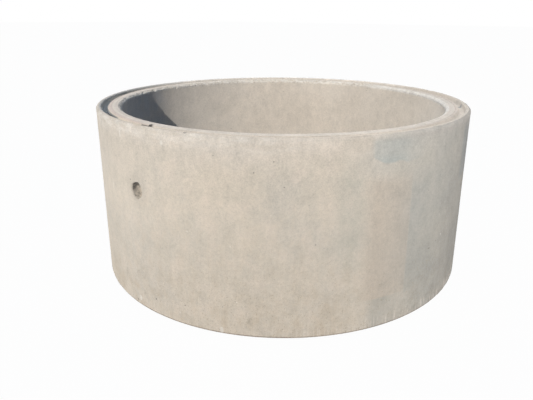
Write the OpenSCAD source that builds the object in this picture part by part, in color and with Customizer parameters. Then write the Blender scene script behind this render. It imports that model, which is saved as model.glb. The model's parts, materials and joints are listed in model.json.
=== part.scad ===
// Precast concrete ring for a culvert shaft or manhole, standing on its end.
// It is one casting: a round wall with a groove in its top end, a tongue on its
// bottom end that fits the groove of the ring below, and two lifting pockets.
// All sizes are in millimetres. Z runs up the axis of the ring, Z = 0 is the end
// of the tongue, and the lifting pockets lie on the X axis.

/* [Wall] */
// Clear bore of the ring
bore_d = 1500; // [1200:10:1800]
// Thickness of the wall
wall_t = 105; // [95:1:140]
// Height of the outer face, from the shoulder up to the lip
wall_h = 750; // [500:10:1000]

/* [Joint] */
// Width of the lip outside the groove
lip_w = 23; // [18:1:28]
// Width of the groove at its mouth
groove_w = 27; // [24:1:32]
// Depth of the groove below the top of the lip
groove_depth = 22; // [19:1:28]
// Lean of each side of the groove and of the tongue, over its full depth
joint_draft = 3; // [1:0.5:4]
// Drop from the lip to the land between groove and bore
land_drop = 5; // [2:1:8]
// Length of the tongue below the shoulder
tongue_h = 15; // [10:1:17]
// Gap left for the sealing strip on each side of the tongue
seal_gap = 3; // [1:0.5:4]

/* [Edges] */
// Rounding of the outer edge of the lip
lip_round = 8; // [4:1:11]
// Chamfer on both edges of the groove
groove_chamfer = 3; // [1:0.5:4]
// Width of the chamfer round the top of the bore
bore_chamfer_w = 12; // [6:1:16]
// Height of the chamfer round the top of the bore
bore_chamfer_h = 9; // [5:1:14]
// Rounding of the outer edge of the shoulder
shoulder_round = 4; // [2:1:8]
// Chamfer round the bottom of the bore
foot_chamfer = 8; // [4:1:12]

/* [Lifting pockets] */
// Diameter of a pocket
pocket_d = 64; // [40:1:80]
// Depth of a pocket into the wall
pocket_depth = 32; // [20:1:50]
// Distance from the top of the lip down to the middle of a pocket
pocket_drop = 250; // [150:5:350]
// Number of pockets, spaced evenly round the ring
pocket_count = 2; // [2:1:4]

/* [Hidden] */
$fn = 180;
bore_r = bore_d / 2;
outer_r = bore_r + wall_t;

shoulder_z = tongue_h;
lip_z = shoulder_z + wall_h;
land_z = lip_z - land_drop;
groove_z = lip_z - groove_depth;
pocket_z = lip_z - pocket_drop;

groove_outer_r = outer_r - lip_w;
groove_inner_r = groove_outer_r - groove_w;
tongue_outer_r = groove_outer_r - seal_gap;
tongue_inner_r = groove_inner_r + seal_gap;

concrete = [0.79, 0.76, 0.70];

// Waste that rounds a corner of a section. The corner is at the origin, with
// the solid towards -X and -Y.
module corner_waste(radius) {
    translate([-radius, -radius])
        difference() {
            square(2 * radius);
            circle(r = radius);
        }
}

// Half section of the ring, from its axis at X = 0. The outline runs from the
// foot of the bore along the bottom end, up the outer face and over the top end.
module ring_section() {
    difference() {
        polygon([
            [bore_r + foot_chamfer, shoulder_z],
            [tongue_inner_r, shoulder_z],
            [tongue_inner_r + joint_draft, 0],
            [tongue_outer_r - joint_draft, 0],
            [tongue_outer_r, shoulder_z],
            [outer_r, shoulder_z],
            [outer_r, lip_z],
            [groove_outer_r + groove_chamfer, lip_z],
            [groove_outer_r, lip_z - groove_chamfer],
            [groove_outer_r - joint_draft, groove_z],
            [groove_inner_r + joint_draft, groove_z],
            [groove_inner_r, land_z - groove_chamfer],
            [groove_inner_r - groove_chamfer, land_z],
            [bore_r + bore_chamfer_w, land_z],
            [bore_r, land_z - bore_chamfer_h],
            [bore_r, shoulder_z + foot_chamfer],
        ]);
        translate([outer_r, lip_z])
            corner_waste(lip_round);
        translate([outer_r, shoulder_z])
            mirror([0, 1])
                corner_waste(shoulder_round);
    }
}

// Blind hole that a lifting pin goes into. It starts in the wall and runs out
// past the outer face, along +X.
module lifting_pocket() {
    translate([outer_r - pocket_depth, 0, pocket_z])
        rotate([0, 90, 0])
            cylinder(d = pocket_d, h = 2 * pocket_depth);
}

// The whole casting.
module ring() {
    color(concrete)
        difference() {
            rotate_extrude()
                ring_section();
            for (i = [0 : pocket_count - 1])
                rotate([0, 0, i * 360 / pocket_count])
                    lifting_pocket();
        }
}

ring();
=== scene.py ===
# A concrete shaft ring standing on its end, on a plain pale floor under studio lamps.
# Lengths are in metres. A bearing is an angle round the ring in degrees, from the side
# nearest the camera, positive to the right.
import json
import math

import bmesh
import bpy
from mathutils import Matrix, Vector, noise


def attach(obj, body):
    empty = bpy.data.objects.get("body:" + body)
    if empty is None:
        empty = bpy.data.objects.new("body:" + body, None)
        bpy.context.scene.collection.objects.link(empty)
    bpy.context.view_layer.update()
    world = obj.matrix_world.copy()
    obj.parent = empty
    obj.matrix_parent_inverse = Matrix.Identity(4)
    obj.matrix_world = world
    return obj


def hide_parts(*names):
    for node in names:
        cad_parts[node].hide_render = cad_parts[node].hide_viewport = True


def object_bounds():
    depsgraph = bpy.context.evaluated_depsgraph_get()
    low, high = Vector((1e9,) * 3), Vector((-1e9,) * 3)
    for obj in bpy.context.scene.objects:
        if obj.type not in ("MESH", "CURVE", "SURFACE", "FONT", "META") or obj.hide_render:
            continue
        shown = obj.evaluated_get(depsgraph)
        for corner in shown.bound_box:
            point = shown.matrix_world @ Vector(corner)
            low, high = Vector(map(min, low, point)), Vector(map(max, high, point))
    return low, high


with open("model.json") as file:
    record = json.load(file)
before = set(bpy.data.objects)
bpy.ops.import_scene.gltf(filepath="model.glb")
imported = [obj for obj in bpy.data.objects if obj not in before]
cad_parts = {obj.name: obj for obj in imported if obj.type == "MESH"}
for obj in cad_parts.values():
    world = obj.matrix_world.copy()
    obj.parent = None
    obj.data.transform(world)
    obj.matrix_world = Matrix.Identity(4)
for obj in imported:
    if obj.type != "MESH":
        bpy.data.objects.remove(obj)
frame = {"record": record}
cad_low, cad_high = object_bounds()

# Camera
# It stands a little above the rim, on the side where one lifting pocket shows, and its
# frame is shifted so that the ring sits where it does in the picture.
picture_w = 533
picture_h = 400
focal_px = 503.5
axis_px = (282.9, 171.7)
camera_distance = 2.545
camera_height_deg = 17.13
camera_roll_deg = -0.50
near_side_deg = -50.25
aim = Vector((0, 0, 0.390))


def side_at(bearing_deg):
    """Unit vector from the ring's axis out through its wall, at a bearing."""
    turn = math.radians(near_side_deg + bearing_deg)
    return Vector((math.sin(turn), -math.cos(turn), 0))


camera_rise = math.radians(camera_height_deg)
backward = side_at(0) * math.cos(camera_rise) + Vector((0, 0, math.sin(camera_rise)))
rightward = Vector((0, 0, 1)).cross(backward).normalized()
upward = backward.cross(rightward)
camera_place = Matrix.Translation(aim + backward * camera_distance)
camera_turn = Matrix((rightward, upward, backward)).transposed().to_4x4()
camera_roll = Matrix.Rotation(math.radians(-camera_roll_deg), 4, "Z")

camera_data = bpy.data.cameras.new("camera")
camera_data.sensor_width = 36
camera_data.lens = camera_data.sensor_width * focal_px / picture_w
camera_data.shift_x = (picture_w / 2 - axis_px[0]) / picture_w
camera_data.shift_y = (axis_px[1] - picture_h / 2) / picture_w
camera = bpy.data.objects.new("camera", camera_data)
camera.matrix_world = camera_place @ camera_turn @ camera_roll
bpy.context.scene.collection.objects.link(camera)
bpy.context.scene.camera = camera

# The ring
# One casting of earth-dry concrete, stripped from its mould while fresh and cured in air.
# Its top end has a groove between a lip and a land, its bottom end has a tongue, and a
# blind lifting pocket is sunk in its wall on each side.
outer_r = cad_high.x
lip_z = cad_high.z
mounts = {mount["name"]: mount for mount in frame["record"]["mounts"]}
bore_r = mounts["bore"]["dims"]["r_mm"] / 1000
pocket_mount = mounts["lifting_pocket_left"]
pocket_r = pocket_mount["dims"]["r_mm"] / 1000
pocket_depth = pocket_mount["dims"]["length_mm"] / 1000
pocket_z = pocket_mount["pos_m"][2]
groove_z = mounts["joint_groove"]["pos_m"][2]

lip_w = 0.023
groove_w = 0.027
joint_draft = 0.003
land_drop = 0.005
tongue_h = 0.015
seal_gap = 0.003
groove_chamfer = 0.003
bore_chamfer_w = 0.012
bore_chamfer_h = 0.009
foot_chamfer = 0.008
shoulder_z = cad_low.z + tongue_h
land_z = lip_z - land_drop
groove_outer_r = outer_r - lip_w
groove_inner_r = groove_outer_r - groove_w
tongue_outer_r = groove_outer_r - seal_gap
tongue_inner_r = groove_inner_r + seal_gap

# The worn ends of the wall, the windows that the pockets are let into, and the mesh's steps.
worn_band = 0.045
window_half_h = 0.065
window_columns = 18
quarter_columns = 192
wall_row = 0.055
worn_row = 0.0044
end_row = 0.009
merge_gap = 0.0005

# Half section of the ring: radius, height, rounding of the corner and steps in that rounding.
section_corners = [
    (bore_r + foot_chamfer, shoulder_z, 0.003, 2),
    (tongue_inner_r, shoulder_z, 0.002, 1),
    (tongue_inner_r + joint_draft, cad_low.z, 0.003, 2),
    (tongue_outer_r - joint_draft, cad_low.z, 0.003, 2),
    (tongue_outer_r, shoulder_z, 0.002, 1),
    (outer_r, shoulder_z, 0.004, 3),
    (outer_r, shoulder_z + worn_band / 2, 0, 0),
    (outer_r, pocket_z - window_half_h, 0, 0),
    (outer_r, pocket_z + window_half_h, 0, 0),
    (outer_r, lip_z - worn_band, 0, 0),
    (outer_r, lip_z, 0.008, 4),
    (groove_outer_r + groove_chamfer, lip_z, 0.0012, 1),
    (groove_outer_r, lip_z - groove_chamfer, 0.0012, 1),
    (groove_outer_r - joint_draft, groove_z, 0.004, 2),
    (groove_inner_r + joint_draft, groove_z, 0.004, 2),
    (groove_inner_r, land_z - groove_chamfer, 0.0012, 1),
    (groove_inner_r - groove_chamfer, land_z, 0.0012, 1),
    (bore_r + bore_chamfer_w, land_z, 0.002, 1),
    (bore_r, land_z - bore_chamfer_h, 0.002, 1),
    (bore_r, land_z - worn_band, 0, 0),
    (bore_r, shoulder_z + worn_band, 0, 0),
    (bore_r, shoulder_z + foot_chamfer, 0.003, 2),
]

ring_mesh = bmesh.new()
corner_verts = [ring_mesh.verts.new((radius, 0, height)) for radius, height, _, _ in section_corners]
for start, end in zip(corner_verts, corner_verts[1:] + corner_verts[:1]):
    ring_mesh.edges.new((start, end))
for corner, (_, _, rounding, steps) in zip(corner_verts, section_corners):
    if rounding:
        bmesh.ops.bevel(
            ring_mesh, geom=[corner], offset=rounding, offset_type="OFFSET", affect="VERTICES",
            segments=steps, profile=0.5, material=-1,
        )
for edge in list(ring_mesh.edges):
    middle_z = (edge.verts[0].co.z + edge.verts[1].co.z) / 2
    row = wall_row
    if middle_z > land_z - worn_band:
        row = worn_row
    elif middle_z < shoulder_z + worn_band:
        row = end_row
    cuts = math.ceil(edge.calc_length() / row) - 1
    if cuts > 0:
        bmesh.ops.subdivide_edges(ring_mesh, edges=[edge], cuts=cuts)
bmesh.ops.spin(
    ring_mesh, geom=ring_mesh.verts[:] + ring_mesh.edges[:], cent=(0, 0, 0), axis=(0, 0, 1),
    angle=math.pi / 2, steps=quarter_columns,
)
for axis in ("X", "Y"):
    whole = ring_mesh.verts[:] + ring_mesh.edges[:] + ring_mesh.faces[:]
    bmesh.ops.mirror(ring_mesh, geom=whole, axis=axis, merge_dist=merge_gap)

# The rings of a pocket from its window inwards: share of its radius, and share of its depth.
pocket_steps = [
    (1.62, 0.0), (1.20, 0.0), (1.10, 0.03), (1.03, 0.10), (0.98, 0.22), (0.95, 0.42), (0.92, 0.66),
    (0.86, 0.84), (0.74, 0.93), (0.56, 0.97), (0.36, 0.98), (0.16, 1.0),
]
pocket_segments = 72
pocket_ragged = 0.11
plain_share = 1.3
pocket_w_share = 0.95
pocket_h_share = 0.97
pear = 0.16
rough_from = 0.3
rough_share = 0.10
rough_per_metre = 95


def place_pocket_ring(verts, side, share, depth_share):
    """Puts one ring of a pocket's vertices on the wall or below it, with a ragged outline."""
    for vert in verts:
        turn = math.atan2(vert.co.z - pocket_z, vert.co.y)
        rim = Vector((math.cos(turn), math.sin(turn), side * 3.1 + depth_share))
        ragged = 1 + pocket_ragged * (noise.noise(rim * 1.7) + 0.6 * noise.noise(rim * 5.3))
        reach = pocket_r * share * (ragged if share < plain_share else 1)
        low = max(-math.sin(turn), 0) if share < plain_share else 0
        across = reach * math.cos(turn) * (pocket_w_share - pear * low)
        vert.co.y = across
        vert.co.z = pocket_z + reach * math.sin(turn) * (pocket_h_share + pear * low)
        rough = rough_share * noise.noise(vert.co * rough_per_metre) if rough_from < depth_share else 0
        depth = pocket_depth * min(depth_share + rough, 1)
        vert.co.x = side * (math.sqrt(outer_r ** 2 - across ** 2) - depth)


window_half_w = (window_columns / 2) * (math.pi / 2) * outer_r / quarter_columns


def in_window(face, side):
    """True for a face of the outer wall where the pocket of one side is let in."""
    middle = face.calc_center_median()
    on_wall = middle.x * side > (bore_r + outer_r) / 2
    return on_wall and abs(middle.y) < window_half_w and abs(middle.z - pocket_z) < window_half_h


def only(kind, items):
    """The items of one kind out of what an operator made."""
    return [item for item in items if isinstance(item, kind)]


for side in (-1, 1):
    window = [face for face in ring_mesh.faces if in_window(face, side)]
    bmesh.ops.delete(ring_mesh, geom=window, context="FACES")
    window_edges = [edge for edge in ring_mesh.edges if edge.is_boundary]
    pocket_axes = Matrix(((0, side, 0), (0, 0, 1), (side, 0, 0))).transposed().to_4x4()
    mouth = bmesh.ops.create_circle(
        ring_mesh, cap_ends=False, radius=pocket_r, segments=pocket_segments,
        matrix=Matrix.Translation((side * outer_r, 0, pocket_z)) @ pocket_axes,
    )["verts"]
    ring_edges = list(dict.fromkeys(edge for vert in mouth for edge in vert.link_edges))
    place_pocket_ring(mouth, side, *pocket_steps[0])
    bmesh.ops.bridge_loops(ring_mesh, edges=window_edges + ring_edges)
    for step in pocket_steps[1:]:
        deeper = bmesh.ops.extrude_edge_only(ring_mesh, edges=ring_edges)["geom"]
        ring_edges = [edge for edge in only(bmesh.types.BMEdge, deeper) if edge.is_boundary]
        inner = only(bmesh.types.BMVert, deeper)
        place_pocket_ring(inner, side, *step)
    middle = sum((vert.co for vert in inner), Vector()) / len(inner)
    deeper = bmesh.ops.extrude_edge_only(ring_mesh, edges=ring_edges)["geom"]
    bmesh.ops.pointmerge(ring_mesh, verts=only(bmesh.types.BMVert, deeper), merge_co=middle)


def lumps(point, size):
    """Smooth noise from -1 to 1, with lumps of about a given size."""
    return noise.noise(point / size)


def cut_corner(across, down, width, height):
    """How far a point, given from a sharp corner into the solid, is pushed in by a chamfer there."""
    short = 1 - across / width - down / height
    return max(short, 0) / 2


# The wear of each face and edge, with the place of a break in the lip's inner edge. A vertex
# nearer than on_face to a face counts as part of it.
on_face = 0.001
wall_waves = ((0.0007, 0.19), (0.0003, 0.05))
outer_nicks = ((lip_z, 0.008), (shoulder_z, 0.005))
trowel_depth = 0.0004
trowel_pitch = 0.006
groove_nick = 0.004
groove_nick_reach = 0.02
break_bearing_deg = -38.6
break_side = side_at(break_bearing_deg)
break_half = 0.034
break_depth = 0.007
break_ending = 0.006
land_break_length = 0.016

for vert in ring_mesh.verts:
    point = vert.co.copy()
    radius = math.hypot(point.x, point.y)
    height = point.z
    outward = Vector((point.x, point.y, 0)) / radius
    inward = 0
    drop = 0
    # Slow unevenness of the wall's two faces, as the mould leaves it.
    if shoulder_z + 0.002 < height < land_z - 0.012:
        uneven = sum(depth * (1 + lumps(point, size)) for depth, size in wall_waves)
        if radius > outer_r - on_face:
            inward = uneven
        elif radius < bore_r + on_face:
            inward = -uneven
    # The edge of the bore crumbles all round.
    across = radius - bore_r
    down = land_z - height
    if across < worn_band and 0 <= down < worn_band:
        crumble = 0.95 + 0.9 * lumps(point, 0.019) + 0.7 * lumps(point, 0.010)
        chips = 0.5 * max(lumps(point, 0.085) - 0.1, 0) + 1.8 * max(lumps(point, 0.034) - 0.3, 0)
        crumble = max(crumble + chips, 0.6)
        push = cut_corner(across, down, bore_chamfer_w * crumble, bore_chamfer_h * crumble)
        inward -= push * bore_chamfer_w * crumble
        drop += push * bore_chamfer_h * crumble
    # Nicks in the outer edges of the lip and of the shoulder.
    from_outside = outer_r - radius
    for edge_z, size in outer_nicks:
        below = abs(edge_z - height)
        if from_outside < worn_band / 2 and below < worn_band / 2 and height >= shoulder_z:
            nick = size * (1.0 + 0.35 * lumps(point, 0.02) + 1.4 * max(lumps(point, 0.055) - 0.35, 0))
            push = cut_corner(from_outside, below, nick, nick)
            inward += push * nick
            drop += push * nick * (1 if edge_z == lip_z else -1)
    # Low trowel marks on the flats of the top end, and small nicks in the groove's edges.
    if height > groove_z - on_face and bore_r + bore_chamfer_w < radius < outer_r - 0.008:
        round_place = Vector((radius, 0.02 * outward.x, 0.02 * outward.y))
        drop += trowel_depth * (1 + lumps(round_place, trowel_pitch))
        for edge_r, edge_z, way in ((groove_outer_r, lip_z, 1), (groove_inner_r, land_z, -1)):
            across = (radius - edge_r) * way
            below = edge_z - height
            if -on_face < across < groove_nick_reach and below < groove_nick_reach:
                wear = 1 + 0.5 * lumps(point, 0.012) + 1.2 * max(lumps(point, 0.04) - 0.3, 0)
                nick = groove_nick * wear
                along = break_side.cross(outward).z * outer_r
                broken = way == 1 or along > break_half - land_break_length
                if broken and abs(along) < break_half and outward.dot(break_side) > 0:
                    ending = min(1, (break_half - abs(along)) / break_ending)
                    nick += break_depth * ending * (1 + 0.5 * lumps(point, 0.01))
                push = cut_corner(max(across, 0), below, nick, nick)
                inward -= push * nick * way
                drop += push * nick
    vert.co = outward * (radius - inward) + Vector((0, 0, height - drop))

bmesh.ops.recalc_face_normals(ring_mesh, faces=ring_mesh.faces)
concrete_mesh = bpy.data.meshes.new("concrete_ring")
ring_mesh.to_mesh(concrete_mesh)
ring_mesh.free()
concrete_mesh.shade_smooth()
concrete_mesh.set_sharp_from_angle(angle=math.radians(50))
concrete_ring = bpy.data.objects.new("concrete_ring", concrete_mesh)
bpy.context.scene.collection.objects.link(concrete_ring)


class Wire:
    """A shader socket that takes part in sums: each operator adds one Math node."""

    def __init__(self, tree, socket=None):
        self.tree = tree
        self.socket = socket

    def node(self, kind, settings=None, inputs=None, output=0):
        """Adds a node: its settings are made first, then the values or wires of its sockets."""
        made = self.tree.nodes.new("ShaderNode" + kind)
        for name, value in (settings or {}).items():
            setattr(made, name, value)
        for key, value in (inputs or {}).items():
            if isinstance(value, Wire):
                self.tree.links.new(value.socket, made.inputs[key])
            else:
                made.inputs[key].default_value = value
        return Wire(self.tree, made.outputs[output] if made.outputs else None)

    def math(self, operation, first, second=0.0):
        """Adds a Math node on one or two values or wires."""
        return self.node("Math", {"operation": operation}, {0: first, 1: second})

    def __add__(self, other):
        return self.math("ADD", self, other)

    def __radd__(self, other):
        return self.math("ADD", other, self)

    def __sub__(self, other):
        return self.math("SUBTRACT", self, other)

    def __rsub__(self, other):
        return self.math("SUBTRACT", other, self)

    def __mul__(self, other):
        return self.math("MULTIPLY", self, other)

    def __rmul__(self, other):
        return self.math("MULTIPLY", other, self)

    def larger(self, other):
        """The larger of this and another."""
        return self.math("MAXIMUM", self, other)

    def size(self):
        """This without its sign."""
        return self.math("ABSOLUTE", self)

    def swing(self, amount):
        """This noise, about 0 to 1, as a change about zero: up to half an amount either way."""
        return (self - 0.5) * amount

    def rise(self, low, high):
        """0 below low, 1 above high, and a smooth step between them; low may be the larger."""
        return self.node(
            "MapRange", {"interpolation_type": "SMOOTHSTEP"},
            {"Value": self, "From Min": low, "From Max": high},
        )

    def within(self, low, high, soft):
        """1 between low and high, fading to 0 over a soft width outside them."""
        return self.rise(low - soft, low) * self.rise(high + soft, high)

    def tint(self, factor, colour, mode="MIX"):
        """This colour with another mixed in by a factor."""
        return self.node(
            "Mix", {"data_type": "RGBA", "blend_type": mode}, {0: factor, 6: self, 7: colour}, output=2
        )

    def stretched(self, x, y, z):
        """These coordinates scaled along each axis."""
        return self.node("Mapping", {}, {"Vector": self, "Scale": (x, y, z)})

    def mottle(self, scale, detail=3.0, roughness=0.55):
        """Noise over these coordinates, about 0 to 1."""
        inputs = {"Vector": self, "Scale": scale, "Detail": detail, "Roughness": roughness}
        return self.node("TexNoise", {}, inputs)

    def spots(self, scale):
        """Distance from the middle of the nearest of many scattered spots."""
        return self.node("TexVoronoi", {}, {"Vector": self, "Scale": scale})


def srgb(red, green, blue):
    """Linear colour of an sRGB one given in 0 to 255."""
    levels = [value / 255 for value in (red, green, blue)]
    linear = [v / 12.92 if v <= 0.04045 else ((v + 0.055) / 1.055) ** 2.4 for v in levels]
    return (*linear, 1.0)


concrete = bpy.data.materials.new("concrete")
concrete.use_nodes = True
concrete.node_tree.nodes.clear()
wiring = Wire(concrete.node_tree)
place = wiring.node("TexCoord", output="Object")
split = wiring.node("SeparateXYZ", {}, {0: place}).socket.node.outputs
x, y, z = (Wire(concrete.node_tree, output) for output in split)
from_axis = wiring.math("SQRT", x * x + y * y)
near = side_at(0)
right = side_at(90)
rightward_of_axis = x * right.x + y * right.y
bearing = wiring.math("ARCTAN2", rightward_of_axis, x * near.x + y * near.y)
bearing_deg = bearing * math.degrees(1)

# Where the casting's faces are.
outer_face = from_axis.rise(outer_r - 0.012, outer_r - 0.006)
bore_face = from_axis.rise(bore_r + 0.006, bore_r + 0.002)
top_face = z.rise(land_z - 0.006, land_z - 0.002) * from_axis.rise(bore_r + 0.004, bore_r + 0.014)
in_groove = from_axis.within(groove_inner_r + 0.001, groove_outer_r - 0.001, 0.002)
in_groove = in_groove * z.rise(lip_z - 0.006, lip_z - 0.016)

# Body colour: slow clouds of warmer and greyer cement, with finer mottling in them that
# grows and browns towards the foot of the wall, and a plainer bore.
clouds = place.mottle(3.2, 4.0, 0.6)
blotches = place.mottle(14.0, 4.0, 0.6)
patches = place.stretched(1, 1, 0.7).mottle(26.0, 6.0, 0.72)
grain = place.mottle(85.0, 5.0, 0.8)
sand = place.mottle(210.0, 2.0, 0.6)
foot = z.rise(0.70, 0.02)
low_wall = z.rise(0.30, 0.06)
warm = srgb(216, 206, 190)
grey = srgb(204, 198, 187)
rosy = srgb(213, 199, 185)
brown = srgb(190, 178, 161)
pale = srgb(224, 215, 204)
cloud_share = clouds.rise(0.30, 0.75) * 0.6
body = wiring.node("Mix", {"data_type": "RGBA"}, {0: cloud_share, 6: warm, 7: grey}, output=2)
body = body.tint(blotches.rise(0.40, 0.72) * (0.32 - 0.2 * bore_face), rosy)
body = body.tint(patches.rise(0.40, 0.75) * (0.2 + 0.6 * foot), brown)
body = body.tint(outer_face * low_wall * blotches.rise(0.54, 0.36) * 0.2, srgb(188, 168, 142))
body = body.tint(bore_face * 0.45, srgb(208, 200, 191))

# Lighter and darker cement: upright draw marks left by the mould on the outer face, the same mottling
# again and a mottled bore, with painted light and shade round the wall and along the bore, and the
# outer wall darker towards its foot.
streaks = place.stretched(1, 1, 0.06).mottle(34.0, 3.0, 0.6)
fine_streaks = place.stretched(1, 1, 0.05).mottle(170.0, 2.0, 0.6)
draw_marks = streaks.swing(0.09) + fine_streaks.swing(0.06) * (0.5 + foot)
shade = 1 + outer_face * draw_marks + grain.swing(0.45) + sand.swing(0.4)
shade = shade + blotches.swing(0.3) + patches.swing(0.4 + 0.25 * low_wall)
# Painted light and shade on the outer wall: a little brighter low in front, darker round its left.
painted_front_light = bearing_deg.within(-22, -4, 14) * z.within(0.12, 0.45, 0.10)
painted_left_shade = bearing_deg.within(-150, -60, 18)
shade = shade * (1 + outer_face * (0.02 * painted_front_light - 0.08 * painted_left_shade))
# Painted light and shade in the bore: brighter across its far middle and high up, darker at its ends
# and on its right.
painted_bore_light = rightward_of_axis.within(-0.15, 0.22, 0.30)
painted_bore_end_shade = rightward_of_axis.size().rise(0.50, 0.72)
painted_bore_right_shade = rightward_of_axis.rise(0.42, 0.62)
shade = shade * (1 + bore_face * (0.10 * painted_bore_light - 0.05 * painted_bore_end_shade - 0.03 * painted_bore_right_shade))
clear_of_left = rightward_of_axis.rise(-0.45, -0.15)
shade = shade * (1 + bore_face * clear_of_left * (0.06 * z.rise(0.46, 0.73) - 0.03))
shade = shade * (1 - outer_face * foot * 0.11)
shade = shade + bore_face * (clouds.swing(0.3) - blotches.swing(0.05) - grain.swing(0.06))

# A paler band below the lip, and pale cement paste on the trowelled top end.
ragged_z = z + place.mottle(9.0, 3.0, 0.6).swing(0.16) + patches.swing(0.10)
pale_band = ragged_z.rise(0.62, 0.755) * (0.05 + 0.35 * bearing_deg.within(-15, 140, 35))
body = body.tint(outer_face * pale_band, pale)
ring_lines = wiring.node(
    "TexNoise", {"noise_dimensions": "1D"},
    {"W": from_axis * 260 + place.mottle(2.0, 1.0) * 1.5, "Scale": 1.0, "Detail": 2.0},
)
body = body.tint(top_face * from_axis.rise(groove_outer_r, groove_inner_r) * 0.4, pale)
body = body.tint(top_face * ring_lines.rise(0.50, 0.66) * 0.55, srgb(200, 186, 174))

# A greyer zone high on the left, with white smears of paste just below the lip.
grey_zone = bearing_deg.within(-140, -50, 28) * z.rise(0.42, 0.68)
body = body.tint(outer_face * grey_zone * 0.4, srgb(192, 183, 171))
smears = place.stretched(0.6, 0.6, 2).mottle(22.0, 5.0, 0.7).rise(0.36, 0.66) * z.rise(0.69, 0.752)
body = body.tint(outer_face * smears * bearing_deg.within(-150, -5, 20) * 0.6, srgb(229, 223, 214))

# On the right of the wall, a rosier patch with a crisp edge to the right and below it, grey haze past
# those edges, and painted shade that deepens round the side as it turns from the key lamp.
worn_deg = bearing_deg + blotches.swing(3)
worn_z = z + blotches.swing(0.05)
past_edge = bearing_deg.rise(32.7, 33.2)
above_edge = z.rise(0.136, 0.142)
rosy_patch = worn_deg.rise(17, 24) * (1 - past_edge) * worn_z.rise(0.64, 0.58) * above_edge
body = body.tint(outer_face * rosy_patch * 0.55, srgb(200, 184, 166))
crisp_haze = past_edge * worn_z.within(0.15, 0.55, 0.08) * 0.85
# Painted shade: greyer round the right side.
painted_side_shade = worn_deg.rise(13, 46) * 0.90
low_haze = worn_deg.rise(20, 24) * (1 - above_edge) * 0.62
haze_and_painted_shade = outer_face * crisp_haze.larger(painted_side_shade.larger(low_haze)) * bearing_deg.rise(178, 120)
body = body.tint(haze_and_painted_shade * (0.35 + 0.8 * clouds), srgb(162, 163, 158))
# Painted shade: darker and browner where the wall turns away from the key lamp.
body = body.tint(outer_face * bearing_deg.within(62, 150, 30) * 0.36, srgb(130, 119, 108))

# Greyer and bluer places there: below the lip, in a column beside the patch, on the top end
# and on the side itself.
slanted_z = z + bearing_deg * 0.0077
high_patch = worn_deg.rise(20, 22) * worn_deg.rise(38, 26) * slanted_z.rise(0.843, 0.855)
high_patch = high_patch * worn_z.rise(0.656, 0.668)
high_patch = high_patch * (z.rise(0.765, 0.735) + z.rise(0.70, 0.666) * 0.5)
body = body.tint(outer_face * high_patch * 0.30, srgb(158, 172, 172))
grey_column = worn_deg.within(15, 16.5, 4) * worn_z.within(0.34, 0.60, 0.10) * patches.rise(0.30, 0.60)
body = body.tint(outer_face * grey_column * 0.28, srgb(168, 171, 160))
top_end = z.rise(groove_z - 0.006, groove_z) * from_axis.rise(bore_r + 0.008, bore_r + 0.016)
body = body.tint(top_end * worn_deg.within(45, 120, 25) * 0.4, srgb(186, 179, 171))
right_edge = bearing_deg.within(60, 80, 3) * worn_z.within(0.53, 0.70, 0.05)
body = body.tint(outer_face * right_edge * 0.32, srgb(104, 116, 124))


def here_and_there(spots, patch_scale):
    """Small spots, kept only in scattered patches."""
    return spots * place.mottle(patch_scale, 2.0).rise(0.60, 0.66)


# Short pale strokes along the foot of the wall, brown sand, a dark line of painted shade along its
# bottom edge, and a few pale scratches.
stroke_z = z + streaks.swing(0.06)
strokes = fine_streaks.rise(0.50, 0.62) * stroke_z.rise(shoulder_z + 0.060, shoulder_z + 0.015)
body = body.tint(outer_face * strokes * bearing_deg.within(30, 110, 70) * 0.5, pale)
body = body.tint(outer_face * foot * sand.rise(0.56, 0.70) * 0.6, srgb(150, 134, 112))
# Painted shade: a thin dark line along the wall's bottom edge, where it meets the floor.
painted_foot_shade = z.rise(shoulder_z + 0.009, shoulder_z + 0.004) * (0.3 + blotches)
body = body.tint(outer_face * painted_foot_shade * 0.7, srgb(112, 96, 84))
scratches = here_and_there(place.stretched(1, 1, 0.12).spots(34.0).rise(0.10, 0.06), 17.0)
body = body.tint(outer_face * scratches * 0.5, pale)

# On the left the land is rosier beside the groove and greyer beside the bore, and the bore has a
# painted blue shade. On the right the land has a worn strip with a brown line, and the groove is paler.
land_middle_r = (bore_r + bore_chamfer_w + groove_inner_r) / 2
land_left = top_face * bearing_deg.within(-125, -45, 12)
beside_groove = from_axis.within(land_middle_r + 0.006, groove_inner_r, 0.003)
beside_bore = from_axis.rise(land_middle_r - 0.002, land_middle_r - 0.008)
body = body.tint(land_left * beside_groove * 0.34, srgb(190, 168, 160))
body = body.tint(land_left * beside_bore * 0.40, srgb(190, 180, 172))
# Painted shade: the bore bluer and darker on the left, where it lies in shade.
painted_bore_shade = bore_face * bearing_deg.within(-112, -50, 12)
body = body.tint(painted_bore_shade * (0.2 + 0.2 * blotches.rise(0.40, 0.62)), srgb(172, 177, 181))
right_side = bearing_deg.within(45, 130, 15)
worn_strip = from_axis.within(land_middle_r + 0.007, groove_inner_r, 0.002)
brown_line = from_axis.within(land_middle_r + 0.0065, land_middle_r + 0.008, 0.0015)
body = body.tint(top_face * right_side * worn_strip * 0.45, srgb(194, 182, 170))
body = body.tint(top_face * right_side * brown_line * 0.4, srgb(166, 146, 132))
body = body.tint(in_groove * right_side * 0.4, srgb(208, 201, 194))

# In the groove on the left, a pale mottled tint that is painted light lifting its shade, with painted
# shade over a stretch of its inner side; a greyer inner edge of the lip beside it; and on the far side
# pale paste on the lip, with painted light lifting the shade in the groove.
# Painted light: a pale tint that lifts the shade in the groove on the left.
painted_groove_light = bearing_deg.within(-140, -66, 6) * (0.65 + 0.9 * (patches - 0.3))
body = body.tint(in_groove * painted_groove_light, srgb(232, 226, 215))
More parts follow.
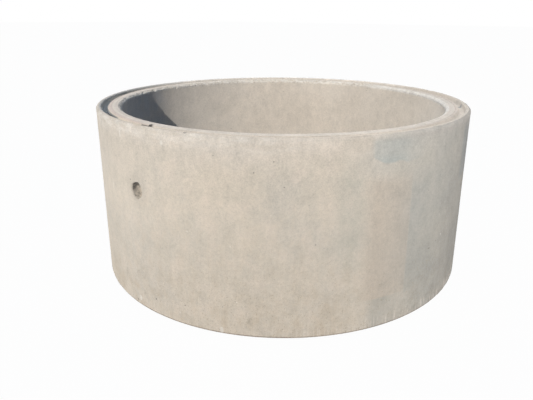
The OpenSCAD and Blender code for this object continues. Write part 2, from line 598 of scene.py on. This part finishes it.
# Painted shade: the groove's inner side darker over a stretch near its end.
painted_shade_side = from_axis.rise(groove_inner_r + 0.008, groove_inner_r + 0.005)
body = body.tint(in_groove * painted_shade_side * bearing_deg.within(-85, -56, 4) * 0.85, srgb(96, 103, 110))
lip_top = top_face * from_axis.rise(groove_outer_r - 0.002, groove_outer_r + 0.001)
lip_inner = lip_top * from_axis.rise(groove_outer_r + 0.018, groove_outer_r + 0.006)
body = body.tint(lip_inner * bearing_deg.within(-128, -68, 12) * 0.55, srgb(148, 154, 158))
# Pale paste on the far lip, and painted light lifting the shade in the far groove.
paste_and_painted_groove_light = lip_top.larger(in_groove) * (1 - bearing_deg.within(-110, 110, 25))
body = body.tint(paste_and_painted_groove_light * 0.6, srgb(238, 232, 224))

# Dark shade in the break of the lip: a slit along it and a hole at its right end.
dark = srgb(70, 68, 65)
break_turn_deg = math.degrees(break_half / outer_r)
break_end_deg = break_bearing_deg + break_turn_deg
slit = bearing_deg.within(break_bearing_deg - break_turn_deg + 1.2, break_end_deg, 1.2)
slit = slit * from_axis.within(groove_inner_r - 0.0015, groove_outer_r - 0.006, 0.0005) * 0.75
hole = bearing_deg.within(break_end_deg - 1.2, break_end_deg, 0.1)
hole = hole * from_axis.within(groove_inner_r - 0.014, groove_outer_r + 0.006, 0.002)
in_break = slit.larger(hole) * z.rise(lip_z - 0.002, lip_z - 0.005)
body = body.tint(in_break * 0.9, dark)

# A faint smear round each pocket, and dark specks and shade inside it.
above_pocket = z - pocket_z
from_pocket = wiring.math("SQRT", y * y + above_pocket * above_pocket)
smear = from_pocket.rise(0.085, 0.034) * outer_face * x.size().rise(0.5, 0.6)
body = body.tint(smear * 0.22, srgb(160, 154, 144))
in_pocket = from_pocket.rise(0.046, 0.042) * from_axis.rise(outer_r - 0.002, outer_r - 0.008)
in_pocket = in_pocket * from_axis.rise(bore_r + 0.05, bore_r + 0.06)
upper_side = (above_pocket + 0.4 * y + grain.swing(0.07)).rise(0.008, 0.026)
rim_side = (from_pocket + grain.swing(0.03)).rise(0.020, 0.030)
rim_side = rim_side * from_axis.rise(outer_r - 0.026, outer_r - 0.014) * above_pocket.rise(-0.020, 0)
pocket_specks = place.mottle(110.0, 3.0, 0.6).rise(0.52, 0.60) * 0.5
pocket_shade = upper_side.larger(rim_side).larger(pocket_specks)
body = body.tint(in_pocket * (0.14 + 0.66 * pocket_shade), dark)

# Single marks on the wall and lip: bearing, height, half width, half height, colour, strength.
white = srgb(236, 231, 222)
single_marks = [
    (-23.0, lip_z, 0.007, 0.003, dark, 0.4),
    (-45.5, 0.717, 0.004, 0.014, white, 0.6),
    (-29.5, 0.720, 0.006, 0.009, white, 0.6),
    (42.2, 0.276, 0.008, 0.004, dark, 0.3),
    (-41.7, 0.048, 0.008, 0.012, white, 0.5),
    (-15.0, 0.030, 0.007, 0.013, white, 0.5),
    (-43.2, 0.033, 0.004, 0.004, dark, 0.5),
    (-35.0, 0.081, 0.004, 0.004, dark, 0.5),
    (-52.5, 0.489, 0.003, 0.018, white, 0.5),
    (18.0, 0.740, 0.045, 0.035, brown, 0.22),
]
outer_side = from_axis.rise(groove_outer_r + 0.006, groove_outer_r + 0.010)
for mark_deg, mark_z, half_w, half_h, colour, strength in single_marks:
    sideways = (bearing_deg - mark_deg) * (math.radians(outer_r) / half_w)
    upwards = (z - mark_z) * (1 / half_h)
    mark = (sideways * sideways + upwards * upwards + grain.swing(2)).rise(1.4, 0.5)
    body = body.tint(outer_side * mark * strength, colour)

# A small dark spot low on the outer side of the groove, on the right.
spot_place = side_at(82.5) * (groove_outer_r - 0.003) + Vector((0, 0, groove_z + 0.003))
spot_inputs = {0: place, 1: tuple(spot_place)}
from_spot = wiring.node("VectorMath", {"operation": "DISTANCE"}, spot_inputs, output=1)
body = body.tint(from_spot.rise(0.017, 0.009) * 0.6, srgb(112, 122, 130))

# White crumbs and dark pits along the edge of the bore, which is whiter on the right. The crumbs are
# partly their own pale colour and partly a painted highlight, the pits are painted shade, and the
# whiter right is a painted highlight.
bore_edge = from_axis.rise(bore_r + 0.018, bore_r + 0.009) * z.rise(land_z - 0.024, land_z - 0.012)
crumbs = place.mottle(75.0, 4.0, 0.7)
# White crumbs: partly their own pale colour, partly a painted highlight.
body = body.tint(bore_edge * crumbs.rise(0.42, 0.56) * (0.25 + 0.6 * blotches), srgb(232, 228, 220))
# Painted shade in the pits, deeper on the left.
painted_pit_shade = crumbs.rise(0.42, 0.30) * (0.3 + 0.6 * bearing_deg.within(-140, -60, 15))
body = body.tint(bore_edge * painted_pit_shade, srgb(92, 90, 88))
# Painted highlight: the bore's edge whiter on the right.
body = body.tint(bore_edge * right_side * 0.4, srgb(232, 230, 226))

# Small dark pores, darkened by painted shade in them, and white flecks of paste.
pores = here_and_there(place.spots(33.0).rise(0.11, 0.06), 24.0)
# Painted shade in the pores.
body = body.tint(pores * 0.6, srgb(110, 104, 96))
flecks = here_and_there(place.spots(29.0).rise(0.10, 0.05), 21.0)
body = body.tint(flecks * 0.6, srgb(238, 233, 224))
# The lighter and darker cement, with the painted light and shade in it, multiplies the colour.
body = body.tint(1.0, wiring.node("CombineColor", {}, {0: shade, 1: shade, 2: shade}), "MULTIPLY")

# A dry, matt surface with fine relief.
relief = grain.swing(0.7) + fine_streaks.swing(0.3) * outer_face - pores * 0.8 + patches.swing(0.5)
relief = relief + bore_edge * crumbs.swing(5)
bumps = wiring.node("Bump", {}, {"Strength": 0.5, "Distance": 0.003, "Height": relief})
surface = wiring.node(
    "BsdfPrincipled", {},
    {
        "Base Color": body, "Roughness": 0.86 + 0.14 * grain, "Normal": bumps,
        "Specular IOR Level": 0.25, "Diffuse Roughness": 1.0,
    },
)
wiring.node("OutputMaterial", {}, {"Surface": surface})
concrete_mesh.materials.append(concrete)

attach(concrete_ring, "root")
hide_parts("ring")

# Floor
# A plain pale studio floor. The camera sees it near white, and it still takes the
# shadow and throws light back up on the ring.
floor_half = 80
floor_gap = 0.0005
floor_seen_white = 0.97

floor_mesh = bmesh.new()
bmesh.ops.create_grid(floor_mesh, x_segments=1, y_segments=1, size=floor_half)
floor_data = bpy.data.meshes.new("floor")
floor_mesh.to_mesh(floor_data)
floor_mesh.free()
floor = bpy.data.objects.new("floor", floor_data)
floor.location.z = cad_low.z - floor_gap
bpy.context.scene.collection.objects.link(floor)


def seen_directly(wiring):
    """1 for rays that show a surface to the camera, straight or in gloss and glass, and 0 for light."""
    rays = wiring.node("LightPath").socket.node.outputs
    ray_names = ("Is Camera Ray", "Is Glossy Ray", "Is Transmission Ray")
    camera_ray, glossy_ray, clear_ray = (Wire(wiring.tree, rays[name]) for name in ray_names)
    return wiring.math("MINIMUM", camera_ray + glossy_ray + clear_ray, 1.0)


pale_floor = bpy.data.materials.new("pale_floor")
pale_floor.use_nodes = True
pale_floor.node_tree.nodes.clear()
wiring = Wire(pale_floor.node_tree)
matt = wiring.node("BsdfDiffuse", {}, {"Color": (0.86, 0.86, 0.86, 1)})
glow = wiring.node("Emission", {}, {"Color": (1, 1, 1, 1), "Strength": 1.0})
mixed = wiring.node("MixShader", {}, {0: seen_directly(wiring) * floor_seen_white, 1: matt, 2: glow})
wiring.node("OutputMaterial", {}, {"Surface": mixed})
floor_data.materials.append(pale_floor)

# Light
# A key lamp from the front left, low enough to leave one side of the bore in shade, a lamp
# behind that is too low to reach over the rim, a wide soft lamp overhead and a dim blue room.
for lamp_name, lamp_bearing_deg, lamp_height_deg, lamp_energy, lamp_angle_deg in (
    ("key", -17.5, 26, 2.7, 0.12),
    ("back", 165, 2, 1.7, 3),
):
    lamp_rise = math.radians(lamp_height_deg)
    to_lamp = side_at(lamp_bearing_deg) * math.cos(lamp_rise) + Vector((0, 0, math.sin(lamp_rise)))
    lamp_data = bpy.data.lights.new(lamp_name, "SUN")
    lamp_data.energy = lamp_energy
    lamp_data.angle = math.radians(lamp_angle_deg)
    lamp_data.color = (1.0, 0.965, 0.915)
    lamp = bpy.data.objects.new(lamp_name, lamp_data)
    lamp.rotation_euler = to_lamp.to_track_quat("Z", "Y").to_euler()
    bpy.context.scene.collection.objects.link(lamp)

overhead_data = bpy.data.lights.new("overhead", "AREA")
overhead_data.shape = "DISK"
overhead_data.size = 4
overhead_data.energy = 26
overhead_data.color = (0.80, 0.90, 1.0)
overhead = bpy.data.objects.new("overhead", overhead_data)
overhead.location = (0, 0, 5)
bpy.context.scene.collection.objects.link(overhead)

room = bpy.data.worlds.new("room")
room.use_nodes = True
room.node_tree.nodes.clear()
wiring = Wire(room.node_tree)
dim = wiring.node("Background", {}, {"Color": (0.34, 0.58, 1.0, 1), "Strength": 0.20})
bright = wiring.node("Background", {}, {"Color": (1, 1, 1, 1), "Strength": 1.0})
seen = wiring.node("MixShader", {}, {0: seen_directly(wiring), 1: dim, 2: bright})
wiring.node("OutputWorld", {}, {"Surface": seen})
bpy.context.scene.world = room
bpy.context.scene.view_settings.view_transform = "Standard"
